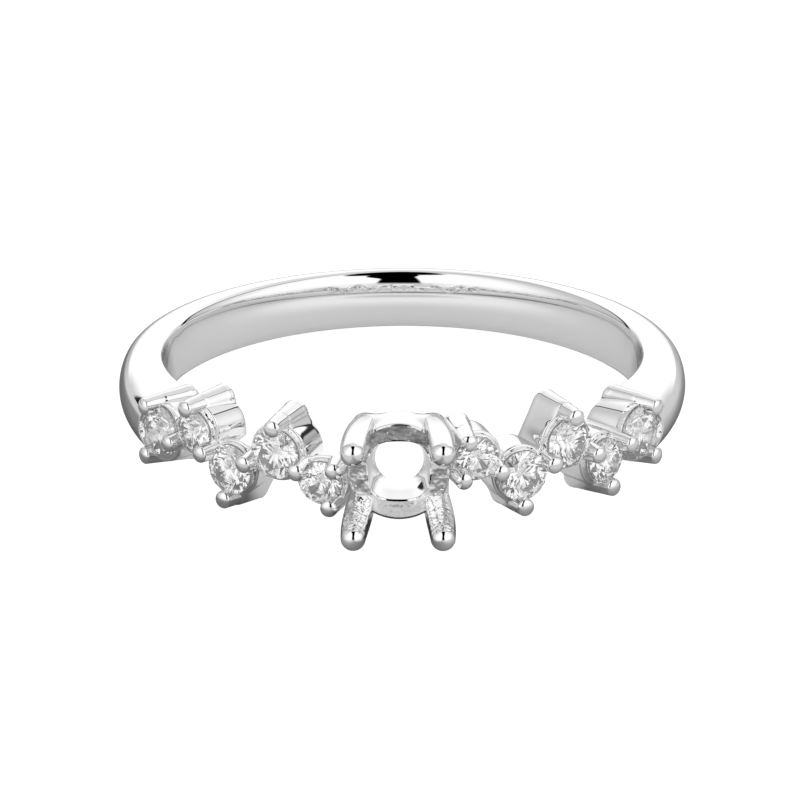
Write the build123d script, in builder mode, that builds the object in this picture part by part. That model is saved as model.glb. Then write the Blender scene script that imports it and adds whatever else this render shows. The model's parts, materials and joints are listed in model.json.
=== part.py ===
from build123d import *
from collections import namedtuple
from math import atan2, cos, degrees, radians, sin
import os

# An engagement ring mount cast in one piece of white metal, lying on its side, with ten
# small diamonds set in its shoulders and an empty four-prong head for a centre stone.
# Lengths are millimetres and angles degrees. The ring is worked out about the centre of
# the finger hole, with the finger along Z and the head toward -Y. Places round the finger
# are measured from the head toward -X. The ring looks the same after half a turn about Y,
# so the settings are made once and turned over for the other shoulder.

# Finger hole and band
finger_bore = 16.92
band_width = 2.16
band_wall = 1.34
dome_depth = 0.87
shoulder_start = 95.0
shoulder_radius = 13.75

# Easing of the finger hole's edges, widest at the back of the band
ease_depth = 0.36
ease_height = 0.56
ease_fade = 0.34

# Side settings, as heights above the finger hole and sizes of their parts
girdle_lift = 1.59
rim_drop = 0.10
rib_drop = 0.22
middle_lift = 2.03
outer_lift = 1.90
prong_tip = 0.54
prong_root = 0.84
seat_ledge = 0.45
stone_gap = 0.03

# Centre head
head_depth = 1.37
head_ring = 3.35
head_mouth = 2.14
head_throat = 1.60
head_edge = 0.08
head_reach = 3.69
head_tip = 0.82
head_tip_spread = 2.93
head_shoulder = 0.93
head_shoulder_spread = 2.63
head_foot = 0.86
head_foot_spread = 2.16

# Cut of a round brilliant, as shares of its diameter, and of its radius for the last two
girdle_share = 0.03
table_share = 0.56
crown_share = 0.151
pavilion_share = 0.431
star_share = 0.55
lower_half_share = 0.78

# Prongs of one shoulder: place round the girdles from the head, height on the finger, and
# how far the tip's centre stands out from the finger hole
Prong = namedtuple("Prong", "place height lift")
prongs = {
    "band upper": Prong(9.83, 0.85, outer_lift),
    "band lower": Prong(9.83, -0.88, outer_lift),
    "five and four": Prong(8.34, 0.0, middle_lift),
    "four upper": Prong(7.61, 1.36, outer_lift),
    "four and three": Prong(6.86, 0.0, middle_lift),
    "three lower": Prong(6.02, -1.45, outer_lift),
    "three and two": Prong(5.15, 0.0, middle_lift),
    "two upper": Prong(4.16, 1.36, outer_lift),
    "two and one": Prong(3.30, 0.0, middle_lift),
    "head side": Prong(2.07, 0.16, middle_lift),
    "head lower": Prong(2.22, -1.14, middle_lift),
}

# Diamonds of one shoulder, from the head outwards: diameter, width of the open cup under it,
# and the prongs that hold it
Diamond = namedtuple("Diamond", "diameter cup held_by")
diamonds = [
    Diamond(1.45, 1.74, ("two and one", "head side", "head lower")),
    Diamond(1.70, 2.00, ("three and two", "two upper", "two and one")),
    Diamond(1.70, 1.96, ("four and three", "three lower", "three and two")),
    Diamond(1.50, 1.88, ("five and four", "four upper", "four and three")),
    Diamond(1.90, 1.96, ("band upper", "band lower", "five and four")),
]

# Depth of metal inside the finger hole that the hole's own cut takes away again
hidden = 0.3

finger_radius = finger_bore / 2
crest_radius = finger_radius + band_wall
girdle_radius = finger_radius + girdle_lift
band_top = band_width / 2
band_end = degrees(prongs["band upper"].place / girdle_radius)
base_radius = finger_radius - hidden
far_out = 2 * finger_bore
sides = {"left": Location(), "right": Location((0, 0, 0), (0, 180, 0))}


def round_plane(place, height, radius):
    """Plane facing outward at a place round the finger; its own X runs toward the head."""
    turn = place / girdle_radius
    origin = (-radius * sin(turn), -radius * cos(turn), height)
    return Plane(origin=origin, x_dir=(cos(turn), -sin(turn), 0), z_dir=(-sin(turn), -cos(turn), 0))


def diamond_centre(diamond):
    """Place and height of the point that is as far from each of the diamond's three prongs."""
    a, b, c = [prongs[name] for name in diamond.held_by]
    b_place, b_height = b.place - a.place, b.height - a.height
    c_place, c_height = c.place - a.place, c.height - a.height
    b_square, c_square = b_place**2 + b_height**2, c_place**2 + c_height**2
    double_area = 2 * (b_place * c_height - c_place * b_height)
    place = a.place + (b_square * c_height - c_square * b_height) / double_area
    height = a.height + (c_square * b_place - b_square * c_place) / double_area
    return place, height


def girdle_place(diamond):
    """Where a diamond sits: its girdle's centre, facing outward."""
    return round_plane(*diamond_centre(diamond), girdle_radius).location


def prong_place(prong, radius):
    """Where a prong stands at a distance from the finger's axis, facing outward."""
    return round_plane(prong.place, prong.height, radius).location


def prong_diameter(radius):
    """Width of a side prong at a distance from the finger's axis."""
    share = (radius - finger_radius) / middle_lift
    return prong_root + share * (prong_tip - prong_root)


def rib_section(diamond, radius):
    """Rounded triangle round the diamond's three prongs, square to the diamond's axis."""
    place, height = diamond_centre(diamond)
    with BuildSketch(round_plane(place, 0, radius)) as section:
        for name in diamond.held_by:
            prong = prongs[name]
            toward_head = radius * (place - prong.place) / girdle_radius
            with Locations((toward_head, prong.height)):
                Circle(prong_diameter(radius) / 2)
        make_hull()
    return section.sketch


def aside(point, turn):
    """Distance out and height of a point, seen from a direction turned away from it."""
    return point[0] * cos(radians(turn)), point[1]


def brilliant_points(diameter):
    """Corners of a brilliant's outline as distance out and height, girdle at height 0."""
    radius = diameter / 2
    half_girdle = girdle_share * diameter / 2
    table = table_share * radius
    crown_slope = crown_share * diameter / (radius - table)
    pavilion_slope = 2 * pavilion_share
    table_side = table * cos(radians(22.5))
    star = table_side + star_share * (radius - table_side)
    lower_half = (1 - lower_half_share) * radius
    return {
        "table": (table, half_girdle + crown_share * diameter),
        "star": (star, half_girdle + crown_slope * (radius - star * cos(radians(22.5)))),
        "upper girdle": (radius, half_girdle),
        "lower girdle": (radius, -half_girdle),
        "lower half": (lower_half, -half_girdle - pavilion_slope * (radius - lower_half * cos(radians(22.5)))),
        "culet": (0, -half_girdle - pavilion_slope * radius),
    }


def facet(turn, inner, outer):
    """Plane of a facet that faces a direction, through two points in that direction."""
    slope = atan2(abs(inner[1] - outer[1]), outer[0] - inner[0])
    upward = cos(slope) if inner[1] > outer[1] else -cos(slope)
    across = (cos(radians(turn)), sin(radians(turn)))
    origin = (outer[0] * across[0], outer[0] * across[1], outer[1])
    return Plane(origin=origin, z_dir=(sin(slope) * across[0], sin(slope) * across[1], upward))


def brilliant(diameter):
    """Round brilliant with its girdle at height 0: a table, 32 crown and 24 pavilion facets."""
    points = brilliant_points(diameter)
    table, star, culet = points["table"], points["star"], points["culet"]
    upper, lower, lower_half = points["upper girdle"], points["lower girdle"], points["lower half"]
    facets = []
    for step in range(8):
        facets.append(facet(45 * step, table, upper))
        facets.append(facet(45 * step + 22.5, aside(table, 22.5), star))
        facets.append(facet(45 * step, culet, lower))
    for step in range(16):
        turn = 22.5 * step + 11.25
        facets.append(facet(turn, aside(star, 11.25), aside(upper, 11.25)))
        facets.append(facet(turn, aside(lower_half, 11.25), aside(lower, 11.25)))
    with BuildPart(Plane.XY.offset(culet[1])) as stone:
        Cylinder(diameter / 2, table[1] - culet[1], align=(Align.CENTER, Align.CENTER, Align.MIN))
        for plane in facets:
            split(bisect_by=plane, keep=Keep.BOTTOM)
    return stone.part


def stone_seat(diameter):
    """Room for a brilliant and its gap, as a round solid with the girdle at height 0."""
    points = list(brilliant_points(diameter).values())
    with BuildPart() as seat:
        with BuildSketch(Plane.XZ):
            with BuildLine():
                Polyline((0, points[0][1]), *points, close=True)
            make_face()
            mirror(about=Plane.YZ)
            offset(amount=stone_gap, kind=Kind.INTERSECTION)
            split(bisect_by=Plane.YZ, keep=Keep.TOP)
        revolve(axis=Axis.Z)
    return seat.part


# Band: a section with a half-round outer side, carried round the back of the finger and out
# along each shoulder, which turns less tightly and so grows thicker, up to the outermost prongs
shoulder_sweep = shoulder_start - band_end
section_depth = shoulder_radius - finger_radius - hidden

with BuildPart() as band:
    with BuildLine() as rail:
        back = CenterArc((0, 0), crest_radius, shoulder_start - 90, 360 - 2 * shoulder_start)
        left = JernArc(back @ 1, back % 1, shoulder_radius, shoulder_sweep)
        right = JernArc(back @ 0, -(back % 0), shoulder_radius, -shoulder_sweep)
    ahead = -(right % 1)
    with BuildSketch(Plane(origin=right @ 1, x_dir=(ahead.Y, -ahead.X, 0), z_dir=ahead)):
        with BuildLine():
            dome = EllipticalCenterArc((-dome_depth, 0), dome_depth, band_top, -90, arc_size=180)
            Polyline(dome @ 1, (-section_depth, band_top), (-section_depth, -band_top), dome @ 0)
        make_face()
    sweep(path=rail.wires()[0])
    with BuildSketch(Plane.XY.offset(-band_width)):
        with BuildLine():
            reach = Vector(far_out * sin(radians(band_end)), -far_out * cos(radians(band_end)))
            Polyline((0, 0), (reach.X, reach.Y), (-reach.X, reach.Y), close=True)
        make_face()
    extrude(amount=2 * band_width, mode=Mode.SUBTRACT)
    with BuildSketch(Plane.XZ.offset(-ease_fade)):
        with BuildLine():
            ease_inner = finger_radius - ease_fade
            ease_outer = ease_inner + ease_depth
            TangentArc((ease_inner, band_top - ease_height), (ease_outer, band_top), tangent=(0, 1))
            Polyline((ease_outer, band_top), (ease_outer, band_width), (0, band_width),
                     (0, band_top - ease_height), (ease_inner, band_top - ease_height))
        make_face()
        mirror(about=Plane.XZ)
    revolve(axis=Axis((0, ease_fade, 0), (0, 0, 1)), mode=Mode.SUBTRACT)
    for turned in sides.values():
        with Locations(turned * girdle_place(diamonds[-1])):
            add(stone_seat(diamonds[-1].diameter), mode=Mode.SUBTRACT)
            Cylinder(diamonds[-1].diameter / 2 + stone_gap, girdle_lift,
                     align=(Align.CENTER, Align.CENTER, Align.MIN), mode=Mode.SUBTRACT)
    Cylinder(finger_radius, far_out, mode=Mode.SUBTRACT)

# One shoulder's settings: for each diamond an open cup and a rounded triangular rib block
# round its prongs, and the shared prongs, which taper to round tips above the girdles
with BuildPart() as shoulder:
    for diamond in diamonds:
        place, height = diamond_centre(diamond)
        loft([rib_section(diamond, base_radius), rib_section(diamond, girdle_radius - rib_drop)])
        with Locations(round_plane(place, height, base_radius).location):
            Cylinder(diamond.cup / 2, girdle_lift - rim_drop + hidden,
                     align=(Align.CENTER, Align.CENTER, Align.MIN))
    for lift in (middle_lift, outer_lift):
        row = [prong for prong in prongs.values() if prong.lift == lift]
        with Locations(*[prong_place(prong, base_radius) for prong in row]):
            Cone(prong_diameter(base_radius) / 2, prong_tip / 2, lift + hidden,
                 align=(Align.CENTER, Align.CENTER, Align.MIN))
        with Locations(*[prong_place(prong, finger_radius + lift) for prong in row]):
            Sphere(prong_tip / 2)
    for diamond in diamonds:
        with Locations(girdle_place(diamond)):
            add(stone_seat(diamond.diameter), mode=Mode.SUBTRACT)
            Cylinder(diamond.diameter / 2 - seat_ledge, girdle_lift + hidden,
                     align=(Align.CENTER, Align.CENTER, Align.MAX), mode=Mode.SUBTRACT)
    Cylinder(finger_radius, far_out, mode=Mode.SUBTRACT)

# Centre head: a base ring with a hole that widens outwards, and four prongs that spread
# from its corners and end in balls
head_back = Plane(origin=(0, -base_radius, 0), x_dir=(1, 0, 0), z_dir=(0, -1, 0))
head_front = head_back.offset(head_depth + hidden)
head_tips = head_back.offset(head_reach + hidden)
throat_flare = (head_mouth - head_throat) / head_depth

with BuildPart() as head:
    with BuildSketch(head_back):
        Circle(head_ring / 2)
    extrude(amount=head_depth + hidden)
    chamfer(head.edges().sort_by(Axis.Y)[0], head_edge)
    for across in (-1, 1):
        for along in (-1, 1):
            with BuildSketch(head_back) as foot:
                with Locations((across * head_foot_spread / 2, along * head_foot_spread / 2)):
                    Circle(head_foot / 2)
            with BuildSketch(head_front) as shoulder_ring:
                with Locations((across * head_shoulder_spread / 2, along * head_shoulder_spread / 2)):
                    Circle(head_shoulder / 2)
            with BuildSketch(head_tips) as tip:
                with Locations((across * head_tip_spread / 2, along * head_tip_spread / 2)):
                    Circle(head_tip / 2)
            loft()
            with Locations(head_tips * Location((across * head_tip_spread / 2, along * head_tip_spread / 2))):
                Sphere(head_tip / 2)
    with BuildSketch(head_back):
        Circle((head_throat - throat_flare * hidden) / 2)
    with BuildSketch(head_front):
        Circle(head_mouth / 2)
    loft(mode=Mode.SUBTRACT)
    Cylinder(finger_radius, far_out, mode=Mode.SUBTRACT)

# The casting: band, both shoulders and head in one
with BuildPart() as casting:
    add([band.part, head.part])
    with Locations(*sides.values()):
        add(shoulder.part)

# Lying on its side the ring touches at the back of the band and at the lowest point of the
# front, a head prong's tip or a side prong's root, so it leans back by the steepest slope
# between them. The origin is on the floor, under the middle of the ring's box
back_reach = crest_radius - dome_depth
low_points = [(finger_radius + head_reach, (head_tip_spread + head_tip) / 2)]
for prong in prongs.values():
    reach_ahead = finger_radius * cos(prong.place / girdle_radius)
    low_points.append((reach_ahead, abs(prong.height) + prong_root / 2))
lean = max(degrees(atan2(drop - band_top, reach + back_reach)) for reach, drop in low_points)
leaning = Location((0, 0, 0), (-lean, 0, 0))
box = casting.part.moved(leaning).bounding_box()
resting = Location((-box.center().X, -box.center().Y, -box.min.Z)) * leaning

os.makedirs("parts", exist_ok=True)
with BuildPart() as ring_mount:
    with Locations(resting):
        add(casting.part)
ring_mount.part.label = "ring_mount"
export_step(ring_mount.part, "parts/ring_mount.step")

# The diamonds, numbered from the head
for side, turned in sides.items():
    for number, diamond in enumerate(diamonds, 1):
        with BuildPart() as stone:
            with Locations(resting * turned * girdle_place(diamond)):
                add(brilliant(diamond.diameter))
        stone.part.label = f"{side}_diamond_{number}"
        export_step(stone.part, f"parts/{side}_diamond_{number}.step")
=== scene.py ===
import json
from collections import namedtuple
import bpy
import numpy as np
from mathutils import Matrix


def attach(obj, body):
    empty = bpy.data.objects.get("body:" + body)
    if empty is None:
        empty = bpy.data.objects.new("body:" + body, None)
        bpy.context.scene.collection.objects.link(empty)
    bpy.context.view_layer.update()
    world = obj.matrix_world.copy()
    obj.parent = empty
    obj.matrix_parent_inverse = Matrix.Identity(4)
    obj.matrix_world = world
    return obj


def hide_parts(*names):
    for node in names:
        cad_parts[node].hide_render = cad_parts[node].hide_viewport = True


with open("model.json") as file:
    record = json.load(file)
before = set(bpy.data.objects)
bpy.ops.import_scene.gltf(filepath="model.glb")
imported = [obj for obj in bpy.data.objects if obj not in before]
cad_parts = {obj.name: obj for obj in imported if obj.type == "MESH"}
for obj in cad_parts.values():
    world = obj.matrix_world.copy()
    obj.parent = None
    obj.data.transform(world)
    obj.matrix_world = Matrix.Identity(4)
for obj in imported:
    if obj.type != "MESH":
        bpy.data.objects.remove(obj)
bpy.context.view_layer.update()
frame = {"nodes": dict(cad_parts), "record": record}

# Band: the shank, cast in white gold in one piece with the settings and the head, half-round
# outside and flat at the sides. Its finger hole is barrelled for comfort: it bulges gently
# toward the finger and rounds off faster near both sides.
mounts = {mount["name"]: mount for mount in frame["record"]["mounts"]}
finger = mounts["finger_bore"]
finger_radius = finger["dims"]["r_mm"]
finger_axis = np.array(finger["axis"])
head_axis = np.array(mounts["centre_stone_seat"]["axis"])
ring_axes = np.stack([np.cross(finger_axis, head_axis), -head_axis, finger_axis])
band_width = 2.16
band_wall = 1.34
dome_depth = 0.87
shoulder_start = np.radians(95)
shoulder_radius = 13.75
barrel_radius = 3.0
corner_start = np.radians(12)
corner_end = np.radians(62)
corner_drop = 0.012
dome_points, corner_points = 91, 17
band_rows, band_columns = 380, 192
outline_count = 400
cap_shares = (0.04, 0.96)
cap_rows = 9
# The hole's radius in the middle of the band and at its edges, by the turn from the back.
hole_turns = np.radians([0, 15, 30, 45, 60, 75, 90, 105, 125])
middle_radii = (8.43, 8.41, 8.36, 8.28, 8.22, 8.20, 8.23, 8.32, 8.44)
edge_radii = (8.79, 8.75, 8.67, 8.55, 8.46, 8.41, 8.41, 8.45, 8.52)

# The band ends at the outermost of a shoulder's prongs. Places run round the girdles from the
# head, heights along the finger, and lifts from the finger hole. A web is how far the wall
# between a diamond's prongs is set back, and a taper how much its cup narrows at the foot.
girdle_lift = 1.59
girdle_radius = finger_radius + girdle_lift
rim_lift = girdle_lift - 0.10
middle_lift, outer_lift = 2.03, 1.90
stone_gap = 0.03
cup_overlap = 0.02
rim_margin = 0.01
Prong = namedtuple("Prong", "place height lift")
prongs = {
    "band upper": Prong(9.83, 0.85, outer_lift),
    "band lower": Prong(9.83, -0.88, outer_lift),
    "five and four": Prong(8.34, 0.0, middle_lift),
    "four upper": Prong(7.61, 1.36, outer_lift),
    "four and three": Prong(6.86, 0.0, middle_lift),
    "three lower": Prong(6.02, -1.45, outer_lift),
    "three and two": Prong(5.15, 0.0, middle_lift),
    "two upper": Prong(4.16, 1.36, outer_lift),
    "two and one": Prong(3.30, 0.0, middle_lift),
    "head side": Prong(2.07, 0.16, middle_lift),
    "head lower": Prong(2.22, -1.14, middle_lift),
}
Diamond = namedtuple("Diamond", "diameter cup web taper held_by")
diamonds = [
    Diamond(1.45, 1.74, 0.045, 0.04, ("two and one", "head side", "head lower")),
    Diamond(1.70, 2.00, 0.045, 0.02, ("three and two", "two upper", "two and one")),
    Diamond(1.70, 1.96, -0.02, 0.12, ("four and three", "three lower", "three and two")),
    Diamond(1.50, 1.88, 0.045, 0.02, ("five and four", "four upper", "four and three")),
    Diamond(1.90, 1.96, 0.045, 0.04, ("band upper", "band lower", "five and four")),
]


def crest(turn):
    """Radius of the band's outermost line at each turn from the head: constant round the back,
    and along each shoulder an arc about a centre set back by the difference of the radii."""
    back = finger_radius + band_wall
    set_back = shoulder_radius - back
    beyond = np.maximum(shoulder_start - np.minimum(turn, 2 * np.pi - turn), 0)
    chord = set_back * np.cos(beyond)
    return np.where(beyond > 0, np.sqrt(chord**2 - set_back**2 + shoulder_radius**2) - chord, back)


def band_outline(turn):
    """Radius and height of points evenly spaced round the band's section at each turn: half an
    ellipse outside; inside, a shallow arc that turns into a tight one toward each side, scaled
    so that it reaches from the hole's middle radius to its edge's at that turn."""
    back_turn = np.abs(np.pi - turn)
    inside = np.interp(back_turn, hole_turns, middle_radii)[:, None]
    edge = np.interp(back_turn, hole_turns, edge_radii)[:, None]
    turn = turn[:, None]
    top = band_width / 2
    dome = np.radians(np.linspace(-90, 90, dome_points))[None, :]
    dome_radius = crest(turn) - dome_depth * (1 - np.cos(dome))
    dome_height = top * np.sin(dome) + 0 * turn
    barrel_rise = barrel_radius * np.sin(corner_start)
    barrel_sink = barrel_radius * (1 - np.cos(corner_start))
    corner_radius = (edge - inside - barrel_sink) / (np.cos(corner_start) - np.cos(corner_end))
    barrel_top = top - corner_drop - corner_radius * (np.sin(corner_end) - np.sin(corner_start))
    share = np.linspace(0, 1, corner_points)[None, :]
    in_corner = corner_start + (corner_end - corner_start) * share
    corner_up = barrel_top + corner_radius * (np.sin(in_corner) - np.sin(corner_start))
    corner_out = inside + barrel_sink + corner_radius * (np.cos(corner_start) - np.cos(in_corner))
    in_barrel = corner_start * share[:, :-1]
    barrel_up = barrel_radius * np.sin(in_barrel) * barrel_top / barrel_rise
    barrel_out = inside + barrel_radius * (1 - np.cos(in_barrel))
    up = np.concatenate([barrel_up, corner_up], 1)
    out = np.concatenate([barrel_out, corner_out], 1)
    radius = np.concatenate([dome_radius, out[:, ::-1], out, dome_radius[:, :1]], 1)
    height = np.concatenate([dome_height, up[:, ::-1], -up, dome_height[:, :1]], 1)
    lengths = np.hypot(np.diff(radius, axis=1), np.diff(height, axis=1)).cumsum(1)
    lengths = np.concatenate([0 * turn, lengths], 1)
    shares = np.arange(band_columns) / band_columns
    spaced = np.stack([[np.interp(shares * run[-1], run, values) for values in pair]
                       for run, pair in zip(lengths, np.stack([radius, height], 1))])
    return (np.roll(spaced, 1, 2) + 2 * spaced + np.roll(spaced, -1, 2)) / 4


def diamond_centre(diamond):
    """Place and height of the point as far from each of the diamond's three prongs, found by
    solving the two lines that lie midway between the first prong and the others."""
    first, second, third = [np.array(prongs[name][:2]) for name in diamond.held_by]
    sides = np.stack([second - first, third - first])
    return first + np.linalg.solve(sides, (sides**2).sum(1) / 2)


def band_end(radius, height):
    """Turn at which the band stops: at the outermost prongs, or at the cylinder that leaves room
    for the outermost diamond, and just inside its cup's wall below the cup's rim."""
    place, middle = diamond_centre(diamonds[-1])
    above_rim = radius > finger_radius + rim_lift - rim_margin
    room = diamonds[-1].diameter / 2 + np.where(above_rim, stone_gap, -cup_overlap)
    reach = np.sqrt(np.maximum(room**2 - (height - middle) ** 2, 0))
    at_prongs = prongs["band upper"].place / girdle_radius
    return np.maximum(place / girdle_radius + np.arcsin(reach / radius), at_prongs)


def band_tube():
    """The band as a tube: its rows are sections from one end round the back to the other, and
    at each end the section shrinks evenly onto the middle of the end's face. Between outlines
    at even turns, radius and height are blended in proportion."""
    first_turn = prongs["band upper"].place / girdle_radius
    turns = np.linspace(first_turn, 2 * np.pi - first_turn, outline_count)
    outlines = band_outline(turns)
    end_radius, end_height = outlines[0]
    start = band_end(end_radius, end_height)
    stop = 2 * np.pi - band_end(end_radius, -end_height)
    turn = start + np.linspace(0, 1, band_rows)[:, None] * (stop - start)
    step = (turn - turns[0]) / (turns[1] - turns[0])
    before = np.clip(step.astype(int), 0, outline_count - 2)
    after = before + 1
    share = step - before
    column = np.arange(band_columns)
    radius, height = [(1 - share) * outlines[before, part, column] + share * outlines[after, part, column]
                      for part in (0, 1)]
    shrink = np.linspace(*cap_shares, cap_rows)[:, None]
    middle = end_radius.mean()
    near_radius, far_radius = [middle + shrink * (radius[row] - middle) for row in (0, -1)]
    near_height, far_height = shrink * height[0], shrink * height[-1]
    turn = np.concatenate([band_end(near_radius, near_height), turn,
                           2 * np.pi - band_end(far_radius, -far_height)[::-1]])
    radius = np.concatenate([near_radius, radius, far_radius[::-1]])
    height = np.concatenate([near_height, height, far_height[::-1]])
    polished = 0 * height
    return np.stack([-radius * np.sin(turn), -radius * np.cos(turn), height, polished], -1)


def plug(tree, socket, value):
    """Links a socket to another node's output, or gives it a number, a colour or a place."""
    if isinstance(value, bpy.types.NodeSocket):
        tree.links.new(value, socket)
    else:
        socket.default_value = value


def add(tree, kind, sockets, **settings):
    """Outputs of a new node of the kind, with its settings and its sockets' values or links."""
    node = tree.nodes.new("ShaderNode" + kind)
    for name, value in settings.items():
        setattr(node, name, value)
    for socket, value in sockets.items():
        plug(tree, node.inputs[socket], value)
    return node.outputs


def calc(tree, operation, *values):
    """Output of a math node with the values, outputs or numbers, on its sockets."""
    return add(tree, "Math", dict(enumerate(values)), operation=operation)["Value"]


def ramp(tree, value, start, end, low=0.0, high=1.0, blend="SMOOTHSTEP"):
    """Output that runs from low to high while the value goes from start to end."""
    sockets = {"Value": value, "From Min": start, "From Max": end, "To Min": low, "To Max": high}
    return add(tree, "MapRange", sockets, interpolation_type=blend)["Result"]


def noise(tree, scale, detail):
    """Noise of a scale, per metre, on the object's own coordinates."""
    place = add(tree, "TexCoord", {})["Object"]
    return add(tree, "TexNoise", {"Vector": place, "Scale": scale, "Detail": detail})["Fac"]


def mix(tree, share, first, second):
    """Colour that goes from the first to the second with the share."""
    return add(tree, "Mix", {"Factor": share, "A": first, "B": second}, data_type="RGBA")["Result"]


# White gold of the whole casting: one mirror polish, worked by hand, so that it's a little
# duller in patches, with a painted shade where it turns away from the eye. Seats keep the uneven
# marks of the bur. Past the last bounce that is followed, the metal glows faintly: painted light for what
# narrow gaps would pass on.
metal_colour = (0.90, 0.90, 0.90, 1)
painted_edge_shade_colour = (0.22, 0.22, 0.22, 1)
painted_edge_shade_facings = (0.74, 0.88)
patch_scale = 900
patch_roughness = (0.01, 0.045)
mark_scale = 2300
mark_depth = 0.00010
last_bounce = 3.5
painted_bounce_glow_colour = (0.22, 0.22, 0.22, 1)
polished_metal = bpy.data.materials.new("polished_white_gold")
polished_metal.use_nodes = True
alloy = polished_metal.node_tree
metal = alloy.nodes["Principled BSDF"].inputs
metal["Metallic"].default_value = 1
metal["Emission Strength"].default_value = 1
dullness = ramp(alloy, noise(alloy, patch_scale, 3), 0, 1, *patch_roughness, blend="LINEAR")
plug(alloy, metal["Roughness"], dullness)
# Painted shade: the colour darkens toward the silhouette, where the metal turns away from the eye.
facing_away = add(alloy, "LayerWeight", {"Blend": 0.5})["Facing"]
painted_edge_shade_share = ramp(alloy, facing_away, *painted_edge_shade_facings, blend="LINEAR")
plug(alloy, metal["Base Color"], mix(alloy, painted_edge_shade_share, metal_colour, painted_edge_shade_colour))
bur_cut = add(alloy, "Attribute", {}, attribute_name="bur_cut")["Fac"]
mark_height = calc(alloy, "MULTIPLY", noise(alloy, mark_scale, 2), bur_cut)
plug(alloy, metal["Normal"], add(alloy, "Bump", {"Distance": mark_depth, "Height": mark_height})["Normal"])
# Painted light: past the last bounce that is followed, and outside the stones, the metal glows a little.
light_path = add(alloy, "LightPath", {})
far_bounce = calc(alloy, "GREATER_THAN", light_path["Ray Depth"], last_bounce)
outside_stones = calc(alloy, "LESS_THAN", light_path["Transmission Depth"], 0.5)
painted_glow_share = calc(alloy, "MULTIPLY", far_bounce, outside_stones)
plug(alloy, metal["Emission Color"], mix(alloy, painted_glow_share, (0, 0, 0, 1), painted_bounce_glow_colour))


def lay_down(points):
    """Places, in the frame's metres, of points in millimetres round the finger hole's centre,
    with the finger along Z and the head toward -Y: the three coordinates times the ring's axes,
    added to the hole's centre."""
    return points / 1000 @ ring_axes + np.array(finger["pos_m"])


def tube_faces(rows, columns, first, looped):
    """Faces of one tube of points, as corner numbers. Point r, c joins r+1 and c+1, columns
    wrap, rows wrap where looped, and otherwise each end closes on a pole of its own."""
    row = np.arange(rows if looped else rows - 1)[:, None]
    column = np.arange(columns)[None, :]
    next_row, next_column = (row + 1) % rows, (column + 1) % columns
    corners = [row * columns + column, row * columns + next_column,
               next_row * columns + next_column, next_row * columns + column]
    faces = (np.stack(corners, -1).reshape(-1, 4) + first).tolist()
    if not looped:
        along = np.arange(columns)
        after = (along + 1) % columns
        last_row = (rows - 1) * columns
        low = np.stack([after, along, np.full(columns, rows * columns)], -1)
        high = np.stack([along + last_row, after + last_row, np.full(columns, rows * columns + 1)], -1)
        faces += (low + first).tolist() + (high + first).tolist()
    return faces


def points_inward(tube):
    """Whether a tube's faces look inward: the sum of each point's distance along the cross
    product of its row's and column's directions, taken from the tube's middle, is negative."""
    points = tube[..., :3]
    along = np.gradient(points, axis=0)
    around = np.roll(points, -1, 1) - np.roll(points, 1, 1)
    outward = points - points.mean((0, 1))
    return (np.cross(around, along) * outward).sum() < 0


def metal_piece(name, tubes, looped=False):
    """One smooth piece of the casting, made of closed tubes of points. A point's fourth number
    says how far the metal there is left as the bur cut it. Nothing sinks into the floor."""
    points, faces, first = [], [], 0
    for tube in tubes:
        if not looped and points_inward(tube):
            tube = tube[:, ::-1]
        rows, columns = tube.shape[:2]
        poles = np.zeros((0, 4)) if looped else np.stack([tube[0].mean(0), tube[-1].mean(0)])
        points.append(np.concatenate([tube.reshape(-1, 4), poles]))
        faces += tube_faces(rows, columns, first, looped)
        first += len(points[-1])
    points = np.concatenate(points)
    places = lay_down(points[:, :3])
    places[:, 2] = np.maximum(places[:, 2], 0)
    mesh = bpy.data.meshes.new(name)
    mesh.from_pydata(places.tolist(), [], faces, shade_flat=False)
    cut = mesh.attributes.new("bur_cut", "FLOAT", "POINT")
    cut.data.foreach_set("value", points[:, 3].astype(np.float32))
    piece = bpy.data.objects.new(name, mesh)
    bpy.context.scene.collection.objects.link(piece)
    piece.data.materials.append(polished_metal)
    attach(piece, "root")
    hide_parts("ring_mount")


metal_piece("band", [band_tube()])

# Side settings: under each diamond an open cup, drilled through for light, inside a rounded
# three-cornered block that joins the diamond's prongs down to the finger hole. They are cast
# with the band. The blocks' tops, the seats and the light holes are left as the bur cut them.
rib_lift = girdle_lift - 0.22
prong_tip, prong_root = 0.58, 0.92
prong_inset = 0.004
blend = 0.04
foot_round = 0.12
rod_foot_round, rod_foot_rise = 0.20, 0.02
tip_dome, tip_rise = 0.17, 0.025
seat_ledge = 0.45
cup_lip, mouth_lip = 0.045, 0.05
block_drop, block_round = 0.10, 0.07
rim_round, mouth_round = 0.025, 0.012
block_dish = 0.004
seat_land = 0.03
hole_round = 0.02
pavilion_slope = 0.862
recess_step = 0.004
around = np.radians(np.arange(0, 360, 1.25))
quarter = np.radians([0, 22.5, 45, 67.5, 90])


def half_turn(tube):
    """The same tube after half a turn about Y: X and Z change sign."""
    return tube * (-1, 1, -1, 1)


def outward_frame(place):
    """At a place round the finger: the direction toward the head, +Z, and outward."""
    turn = place / girdle_radius
    return np.array([[np.cos(turn), -np.sin(turn), 0], [0, 0, 1], [-np.sin(turn), -np.cos(turn), 0]])


def prong_radius(lift):
    """Half the width of a side prong, which narrows evenly from the finger hole to the ball."""
    return (prong_root + (prong_tip - prong_root) * lift / middle_lift) / 2


def hull_distance(walls, facing, turns):
    """Distance from the axis to a hull's outside at each turn. A straight wall stands at each
    facing, as far out as walls says, and the nearest one in that direction counts."""
    slant = np.cos(turns[:, None] - facing)
    return np.where(slant > 0.1, walls / np.maximum(slant, 0.1), np.inf).min(1)


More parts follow.
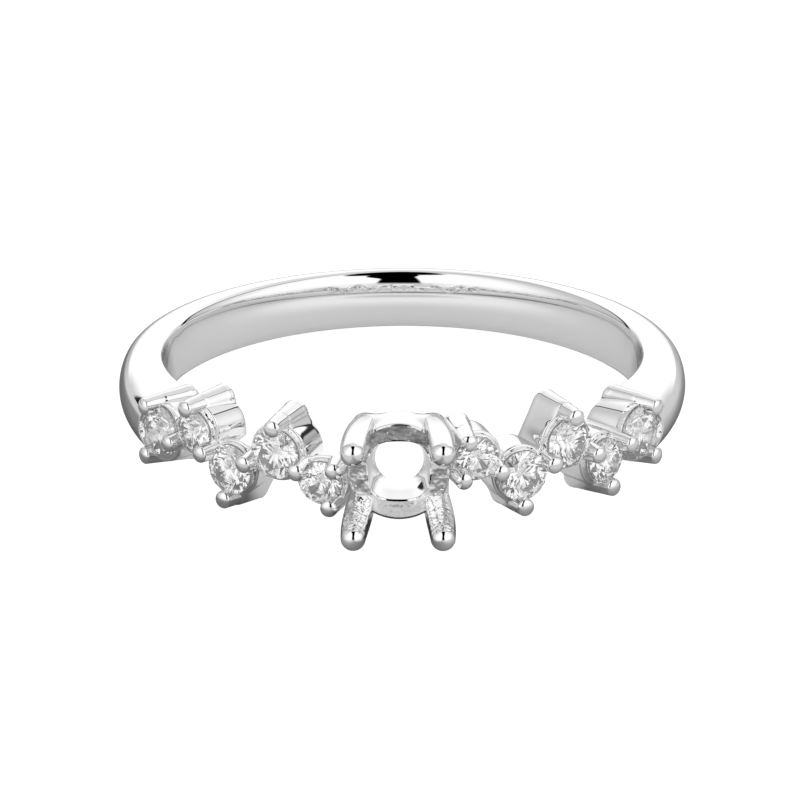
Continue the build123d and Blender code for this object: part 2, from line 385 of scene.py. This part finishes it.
def larger(first, second, softness):
    """The larger of two distances, softly blended: half of their sum, and half of the root of
    their difference squared and the softness squared."""
    return (first + second + np.sqrt((first - second) ** 2 + softness**2)) / 2


def block_outline(diamond, lift):
    """Distance from a diamond's axis to its block's outside, all round, at a lift: the largest
    of the cup's circle, the circles of the three rods, and the web between the rods, which is
    the hull of the rods less the web's set-back."""
    place, middle = diamond_centre(diamond)
    held = np.array([prongs[name][:2] for name in diamond.held_by])
    toward_head = ((place - held[:, 0]) * (finger_radius + lift) / girdle_radius)[:, None]
    upward = (held[:, 1] - middle)[:, None]
    facing = np.radians(np.arange(0, 360, 0.5))
    farthest = (toward_head * np.cos(facing) + upward * np.sin(facing)).max(0)
    distance = hull_distance(farthest + prong_radius(lift) - diamond.web, facing, around)
    away = toward_head * np.cos(around) + upward * np.sin(around)
    aside = toward_head * np.sin(around) - upward * np.cos(around)
    rods = away + np.sqrt(np.maximum((prong_radius(lift) - prong_inset) ** 2 - aside**2, 0))
    cup = diamond.cup / 2 - diamond.taper * (1 - lift / rib_lift)
    for other in [cup + 0 * around, *np.where(rods > away, rods, 0)]:
        distance = larger(distance, other, blend)
    return distance


def setting(diamond, recess):
    """One setting as a tube whose rows go up the block, over the cup's rim, down the seat and
    the light hole, and back along the finger hole, and whose columns go round the diamond.
    The block's edges and the rim's are quarters of a circle."""
    place, middle = diamond_centre(diamond)
    half = diamond.diameter / 2
    cup, seat_mouth, light = half + cup_lip, half - mouth_lip, half - seat_ledge
    rim, bottom = finger_radius + rim_lift, finger_radius + recess
    rows = []

    def row(distance, level):
        rows.append((distance + 0 * around, level + 0 * around))

    def floor_row(distance, above):
        row(distance, np.sqrt(bottom**2 - (distance * np.cos(around)) ** 2) + above)

    foot = block_outline(diamond, 0)
    for swing in quarter:
        floor_row(foot - foot_round * (1 - np.sin(swing)), foot_round * (1 - np.cos(swing)))
    for lift in np.linspace(2 * foot_round, rib_lift - block_drop - 0.03, 7):
        row(block_outline(diamond, lift), finger_radius + lift)
    crown = block_outline(diamond, rib_lift)
    corner = np.minimum(block_round, 0.8 * (crown - cup))
    block_top = finger_radius + rib_lift - block_drop
    for swing in quarter:
        row(crown - corner * (1 - np.cos(swing)), block_top + corner * np.sin(swing))
    polished_rows = len(rows)
    row(cup + 0.25 * (crown - corner - cup), block_top + corner)
    row(cup + block_dish, block_top + corner + block_dish)
    for swing in np.radians([0, 30, 60, 90]):
        row(cup - rim_round * (1 - np.cos(swing)), rim - rim_round * (1 - np.sin(swing)))
    for swing in np.radians([90, 60, 30, 0]):
        row(seat_mouth + mouth_round * (1 - np.cos(swing)), rim - mouth_round * (1 - np.sin(swing)))
    seat_foot = rim - (seat_mouth - light) * pavilion_slope
    row(light + 0.01, seat_foot - mouth_round)
    row(light, seat_foot - seat_land)
    floor_row(light, hole_round)
    floor_row(light + hole_round, 0)
    floor_row(0.5 * (light + foot), 0)
    distance, level = np.array(rows).transpose(1, 0, 2)
    cut = (np.arange(len(rows)) >= polished_rows)[:, None] + 0 * distance
    local = np.stack([distance * np.cos(around), distance * np.sin(around), level], -1)
    return np.append(local @ outward_frame(place) + (0, 0, middle), cut[..., None], -1)


def rod(name):
    """One side prong: a round rod whose rows climb from a rounded foot at the finger hole,
    narrowing evenly, and then follow a quarter of an ellipse over the low dome of its end."""
    place, middle, lift = prongs[name]
    levels = np.linspace(rod_foot_round + 0.1, lift + 0.02, 8)
    swing = np.radians(np.linspace(3, 88, 20))
    thickness = np.concatenate([prong_radius(0) - rod_foot_round * (1 - np.sin(quarter)),
                                prong_radius(levels), prong_radius(lift) * np.cos(swing)])
    level = finger_radius + np.concatenate([rod_foot_rise + rod_foot_round * (1 - np.cos(quarter)),
                                            levels, lift + tip_rise + tip_dome * np.sin(swing)])
    turn = np.radians(np.arange(0, 360, 7.5))
    local = np.stack([thickness[:, None] * np.cos(turn), thickness[:, None] * np.sin(turn),
                      level[:, None] + 0 * turn], -1)
    polished = 0 * local[..., :1]
    return np.append(local @ outward_frame(place) + (0, 0, middle), polished, -1)


left_settings = [setting(diamond, number % 2 * recess_step) for number, diamond in enumerate(diamonds)]
left_prongs = [rod(name) for name in prongs]
metal_piece("left_settings", left_settings, looped=True)
metal_piece("right_settings", [half_turn(tube) for tube in left_settings], looped=True)
metal_piece("left_prongs", left_prongs)
metal_piece("right_prongs", [half_turn(tube) for tube in left_prongs])

# Centre head: a low round collar with a tapered hole for the centre stone's point, cast with
# four round prongs that spread from its corners and end in balls. It holds no stone. Its face
# and the prongs' inner sides are left as the bur cut them.
head_depth = 1.37
collar_radius = 1.675
collar_inset, collar_blend = 0.005, 0.06
collar_foot_round, collar_recess = 0.10, 0.002
draw_in, draw_start = 0.55, 0.3
mouth_radius, throat_radius = 1.08, 0.80
mouth_squareness = 0.05
mouth_land, mouth_taper = 0.05, 0.016
throat_edge = ((0, 0.06), (0.015, 0.02), (0.05, 0))
face_inset, face_sink, face_round = 0.02, 0.11, 0.03
least_cut, cut_middle, cut_slope = 0.25, 1.3, 1.6
head_reach = 3.69
spreads = {"foot": 2.16, "shoulder": 2.63, "tip": 2.93}
widths = {"foot": 0.86, "shoulder": 0.93, "tip": 0.82}
foot_lift = -0.3
foot_fade = 0.5
flatness = 1.8
cut_start, cut_stop = 0.4, head_reach - 0.1
collar_turn = np.radians(np.arange(0, 360, 1.25))


def through_three(values, lift):
    """Parabola through the foot's, the shoulder's and the tip's value, over the lift."""
    return np.polyval(np.polyfit([foot_lift, head_depth, head_reach], list(values.values()), 2), lift)


def level_over_hole(across, lift):
    """Distance from the finger's axis at a lift over the finger hole: at the foot it follows the
    hole's round, and the sag across it fades out evenly with height."""
    sag = finger_radius - np.sqrt(finger_radius**2 - across**2)
    return finger_radius + lift - np.maximum(1 - lift / foot_fade, 0) * sag


def collar_outline(lift):
    """Distance from the head's axis to the collar's outside, all round, at a lift: the larger
    of its circle and the hull of the four prongs, which draws in with height."""
    spread, width = through_three(spreads, lift) / 2, through_three(widths, lift) / 2
    facing = np.radians(np.arange(0, 360, 0.5))
    drawn_in = draw_in * (max(lift - draw_start, 0) / (head_depth - draw_start)) ** 2
    walls = spread * (np.abs(np.cos(facing)) + np.abs(np.sin(facing))) + width - collar_inset - drawn_in
    return larger(hull_distance(walls, facing, collar_turn), collar_radius, collar_blend)


def collar_tube():
    """The collar as a tube whose rows go up its outside, in over its sloping face, down the
    tapered hole and back along the finger hole. The bur's marks fade toward the lower side."""
    mouth = mouth_radius * (1 + mouth_squareness * np.cos(4 * collar_turn + np.pi))
    mouth_lift = head_depth - face_sink
    foot = collar_outline(0) - collar_foot_round
    face_edge = collar_outline(head_depth) - face_inset
    face = face_edge - face_round
    rows = [(foot + collar_foot_round * np.sin(swing), collar_foot_round * (1 - np.cos(swing)))
            for swing in quarter]
    rows += [(collar_outline(lift), lift) for lift in np.linspace(0.2, head_depth - 0.05, 12)]
    rows += [(face_edge - face_round * (1 - np.cos(swing)), head_depth - face_round * (1 - np.sin(swing)))
             for swing in np.radians([30, 60, 90])]
    first_cut = len(rows)
    rows += [(face + share * (mouth - face), head_depth - share * face_sink)
             for share in np.linspace(0.05, 1, 12)]
    last_cut = len(rows) - 1
    rows += [(mouth - mouth_round, mouth_lift - mouth_round), (mouth - mouth_taper, mouth_lift - mouth_land),
             (mouth * 0.6 + throat_radius * 0.4 - 0.02, 0.55 * head_depth)]
    rows += [(throat_radius + out + 0 * collar_turn, up) for out, up in throat_edge]
    rows += [(0.6 * throat_radius + 0.4 * collar_radius + 0 * collar_turn, 0)]
    distance = np.array([distance for distance, lift in rows])
    lift = np.array([lift for distance, lift in rows])[:, None]
    across, rise = distance * np.cos(collar_turn), distance * np.sin(collar_turn)
    level = level_over_hole(across, lift) + collar_recess
    number = np.arange(len(rows))[:, None]
    upper = np.clip(cut_middle + cut_slope * np.sin(collar_turn), 0, 1)
    cut = (number >= first_cut) * (number < last_cut) * (least_cut + (1 - least_cut) * upper)
    return np.append(np.stack([across, rise, level], -1) @ outward_frame(0), cut[..., None], -1)


def head_prong(side, end):
    """One centre prong: rows climb from the finger hole along a slightly bowed line, with the
    width on a parabola too, and then follow a half circle over the ball. Each row is a circle,
    which turns into a rounded square, a circle of higher power, on the side toward the other
    prongs. The bur has cut the side toward the centre stone."""
    lift = np.linspace(0.006, head_reach, 24)
    swing = np.radians(np.linspace(4, 87, 18))
    tip = widths["tip"] / 2
    half_width = np.concatenate([through_three(widths, lift) / 2, tip * np.cos(swing)])[:, None]
    offset = np.concatenate([through_three(spreads, lift) / 2, 0 * swing + spreads["tip"] / 2])[:, None]
    lift = np.concatenate([lift, head_reach + tip * np.sin(swing)])[:, None]
    turn = np.radians(np.arange(0, 360, 5))
    flattened = np.clip(-2 * side * np.cos(turn), 0, 1) * np.clip(2 - 2 * lift / head_reach, 0, 1)
    power = 2 + flatness * flattened
    powers = np.abs(np.cos(turn)) ** power + np.abs(np.sin(turn)) ** power
    thickness = half_width * powers ** (-1 / power)
    across = side * offset + thickness * np.cos(turn)
    rise = end * offset + thickness * np.sin(turn)
    level = level_over_hole(across, lift)
    cut = np.clip(0.5 - end * np.sin(turn), 0, 1) * (lift > cut_start) * (lift < cut_stop)
    return np.append(np.stack([across, rise, level], -1) @ outward_frame(0), cut[..., None], -1)


metal_piece("head_collar", [collar_tube()], looped=True)
metal_piece("head_prongs", [head_prong(side, end) for side in (-1, 1) for end in (-1, 1)])

# Diamonds: ten round brilliants with a few faint inclusions, laid on their seats and held by
# the prongs' ends. They keep the frame's own facets, which are cut flat.
inclusion_scale = 4000
inclusion_noises = (0.62, 0.72)
clear_and_glow_colour = (1, 1, 1, 1)
inclusion_colour = (0.90, 0.90, 0.90, 1)
diamond_material = bpy.data.materials.new("cut_diamond")
diamond_material.use_nodes = True
crystal = diamond_material.node_tree
clear = crystal.nodes["Principled BSDF"].inputs
clear["Roughness"].default_value = 0
clear["IOR"].default_value = 2.42
clear["Transmission Weight"].default_value = 1
# Painted light: the stones glow faintly in their own white.
clear["Emission Color"].default_value = clear_and_glow_colour
clear["Emission Strength"].default_value = 0.035
clouded = ramp(crystal, noise(crystal, inclusion_scale, 4), *inclusion_noises, blend="LINEAR")
plug(crystal, clear["Base Color"], mix(crystal, clouded, clear_and_glow_colour, inclusion_colour))
for name, stone in frame["nodes"].items():
    if "diamond" in name:
        stone.data.materials.clear()
        stone.data.materials.append(diamond_material)

# Floor: a pale board, plain white to the eye. The metal mirrors in it a studio's ground of painted
# light and shade: pale in the finger hole with a painted glow, but for a small painted dark spot, a painted
# shadow darkest under the band, pale again farther out, and a painted shade straight in front of the head.
# Its lengths are in metres.
floor_half = 0.5
floor_glow, inner_glow = 0.95, 0.14
floor_colour = (0.28, 0.28, 0.28, 1)
Zone = namedtuple("Zone", "middle near far paleness_near paleness_far")
zones = {
    "heart": Zone((0, 0.001, 0), 0.0008, 0.0032, -0.42, 0),
    "core": Zone((0, 0.0014, 0), 0.0036, 0.0068, 0.30, 0),
    "inner": Zone((0, 0.0014, 0), 0.0087, 0.0094, 0.70, 0.30),
    "outer": Zone((-0.003, 0.004, 0), 0.0118, 0.019, 0, 0.53),
}
shade_widths = (0.0003, 0.0040)
shade_depths = (-0.0095, -0.0070)
floor_mesh = bpy.data.meshes.new("floor")
floor_corners = [(-floor_half, -floor_half, 0), (floor_half, -floor_half, 0),
                 (floor_half, floor_half, 0), (-floor_half, floor_half, 0)]
floor_mesh.from_pydata(floor_corners, [], [(0, 1, 2, 3)])
floor = bpy.data.objects.new("floor", floor_mesh)
bpy.context.scene.collection.objects.link(floor)
pale_board = bpy.data.materials.new("pale_board")
pale_board.use_nodes = True
board = pale_board.node_tree
board_surface = board.nodes["Principled BSDF"].inputs
board_surface["Roughness"].default_value = 0.9
board_surface["Emission Color"].default_value = (1, 1, 1, 1)
board_place = add(board, "TexCoord", {})["Object"]
tones = {}
for name, zone in zones.items():
    distance = add(board, "VectorMath", {0: board_place, 1: zone.middle}, operation="DISTANCE")["Value"]
    tones[name] = ramp(board, distance, *zone[1:])
# Painted light and shade for the metal's mirror: a dark spot in the hole, a painted shadow darkest under the
# band, and paler rings.
painted_floor_tone = tones["heart"]
for name in ("core", "inner", "outer"):
    painted_floor_tone = calc(board, "ADD", painted_floor_tone, tones[name])
board_parts = add(board, "SeparateXYZ", {"Vector": board_place})
# A painted shade on the floor straight in front of the head, where the camera stands.
painted_front_shade = ramp(board, calc(board, "ABSOLUTE", board_parts["X"]), *shade_widths, 0.5, 1)
behind = ramp(board, board_parts["Y"], *shade_depths)
painted_mirror_tone = calc(board, "MULTIPLY", painted_floor_tone, calc(board, "MAXIMUM", painted_front_shade, behind))
seen_in_metal = add(board, "LightPath", {})["Is Glossy Ray"]
plug(board, board_surface["Base Color"], mix(board, seen_in_metal, floor_colour, painted_mirror_tone))
inner = zones["inner"]
inner_range = (inner.paleness_far, inner.paleness_near)
# A painted glow in the finger hole, seen only in the metal.
painted_glow_in_metal = ramp(board, tones["inner"], *inner_range, 0, inner_glow, blend="LINEAR")
glow = ramp(board, seen_in_metal, 0, 1, floor_glow, painted_glow_in_metal, blend="LINEAR")
plug(board, board_surface["Emission Strength"], glow)
floor.data.materials.append(pale_board)

# Studio: a white tent round the ring. Its side walls grow greyer toward the back, a dark seam
# joins each to the back wall, and their foot is shaded. Azimuths are degrees from the front,
# positive to the right, and elevations degrees above the floor.
tent_white = 1.12
left_azimuths, left_grey = (-118, -50), 0.62
right_azimuths, right_grey = (75, 136), 0.56
left_seam = -138
right_seams, right_seam_elevations = (132, 104), (20, 62)
seam_width, seam_tones = (1.5, 4.0), (0.05, 1.0)
back_elevations, back_grey = (24, 58), 0.78
front_azimuths, front_foot_tones = (6, 26), (0.5, 0.86)
side_azimuths, side_foot_tone = (70, 95), 0.6
foot_height = 18
studio = bpy.data.worlds.new("studio")
bpy.context.scene.world = studio
studio.use_nodes = True
sky = studio.node_tree
direction = add(sky, "TexCoord", {})["Generated"]
sky_parts = add(sky, "SeparateXYZ", {"Vector": direction})
degree = 180 / np.pi
elevation = calc(sky, "MULTIPLY", calc(sky, "ARCSINE", sky_parts["Z"]), degree)
toward_front = calc(sky, "MULTIPLY", sky_parts["Y"], -1)
azimuth = calc(sky, "MULTIPLY", calc(sky, "ARCTAN2", sky_parts["X"], toward_front), degree)
left_wall = ramp(sky, azimuth, *left_azimuths, left_grey, tent_white)
right_wall = ramp(sky, azimuth, *right_azimuths, tent_white, right_grey)
side_walls = calc(sky, "MINIMUM", left_wall, right_wall)
past_right = calc(sky, "SUBTRACT", azimuth, ramp(sky, elevation, *right_seam_elevations, *right_seams))
past_left = calc(sky, "SUBTRACT", left_seam, azimuth)
past_seam = calc(sky, "MAXIMUM", past_right, past_left)
back_wall = ramp(sky, elevation, *back_elevations, tent_white, back_grey)
tent = ramp(sky, past_seam, 0, 2, side_walls, back_wall)
tent = calc(sky, "MULTIPLY", tent, ramp(sky, calc(sky, "ABSOLUTE", past_seam), *seam_width, *seam_tones))
from_front = calc(sky, "ABSOLUTE", azimuth)
front_foot = ramp(sky, from_front, *front_azimuths, *front_foot_tones)
side_foot = ramp(sky, from_front, *side_azimuths, front_foot, side_foot_tone)
foot = ramp(sky, past_seam, 8, 20, side_foot, 1.0)
tent = calc(sky, "MULTIPLY", tent, ramp(sky, elevation, 0, foot_height, foot, 1.0))

# The tent's opening is black: a slot in front for the camera, which widens upwards, and a
# round hole overhead, tilted a little to the front and right.
slot_foot = (4, 13)
right_edge_elevations, right_edges = (36, 66), (14, 31)
left_edge_elevations, left_edges = (50, 68), (-9.5, -16)
edge_softness = 1
hole_axis = (0.0449, -0.1677, 0.9848)
hole_cosines = (0.958, 0.975)
slot_right = ramp(sky, elevation, *right_edge_elevations, *right_edges)
slot_left = ramp(sky, elevation, *left_edge_elevations, *left_edges)
past_left_edge = ramp(sky, azimuth, calc(sky, "SUBTRACT", slot_left, edge_softness),
                      calc(sky, "ADD", slot_left, edge_softness))
short_of_right_edge = ramp(sky, azimuth, calc(sky, "SUBTRACT", slot_right, edge_softness),
                           calc(sky, "ADD", slot_right, edge_softness), 1.0, 0.0)
slot = calc(sky, "MULTIPLY", past_left_edge, short_of_right_edge)
slot = calc(sky, "MULTIPLY", slot, ramp(sky, elevation, *slot_foot))
hole_cosine = add(sky, "VectorMath", {0: direction, 1: hole_axis}, operation="DOT_PRODUCT")["Value"]
opening = calc(sky, "MAXIMUM", slot, ramp(sky, hole_cosine, *hole_cosines))
background = sky.nodes["Background"].inputs
background["Strength"].default_value = 1.0
plug(sky, background["Color"], calc(sky, "MULTIPLY", tent, calc(sky, "SUBTRACT", 1.0, opening)))

# Camera: a long lens that looks at the ring from the front and a little above. Its angles are
# taken to the ring's own axes, its distance is in millimetres, and the frame is in pixels.
pitch = np.radians(18.786)
yaw = np.radians(-0.722)
roll = np.radians(0.139)
camera_distance = 170
frame_pixels = 800
focal_pixels = 4883.73
centre_pixels = (402.4, 375.65)
sensor_width = 36
view = np.array([np.sin(yaw) * np.cos(pitch), np.cos(yaw) * np.cos(pitch), -np.sin(pitch)])
upward = np.array([np.sin(yaw) * np.sin(pitch), np.cos(yaw) * np.sin(pitch), np.cos(pitch)])
right = np.cross(view, upward)
right, upward = right * np.cos(roll) - upward * np.sin(roll), upward * np.cos(roll) + right * np.sin(roll)
matrix = np.eye(4)
matrix[:3, :3] = (np.stack([right, upward, -view]) @ ring_axes).T
matrix[:3, 3] = lay_down(-view * camera_distance)
camera_data = bpy.data.cameras.new("camera")
camera_data.sensor_width = sensor_width
camera_data.lens = focal_pixels * sensor_width / frame_pixels
camera_data.shift_x = (frame_pixels / 2 - centre_pixels[0]) / frame_pixels
camera_data.shift_y = (centre_pixels[1] - frame_pixels / 2) / frame_pixels
camera_data.clip_start = 0.01
camera = bpy.data.objects.new("camera", camera_data)
camera.matrix_world = matrix.T.tolist()
bpy.context.scene.collection.objects.link(camera)
bpy.context.scene.camera = camera
bpy.context.scene.view_settings.view_transform = "Standard"
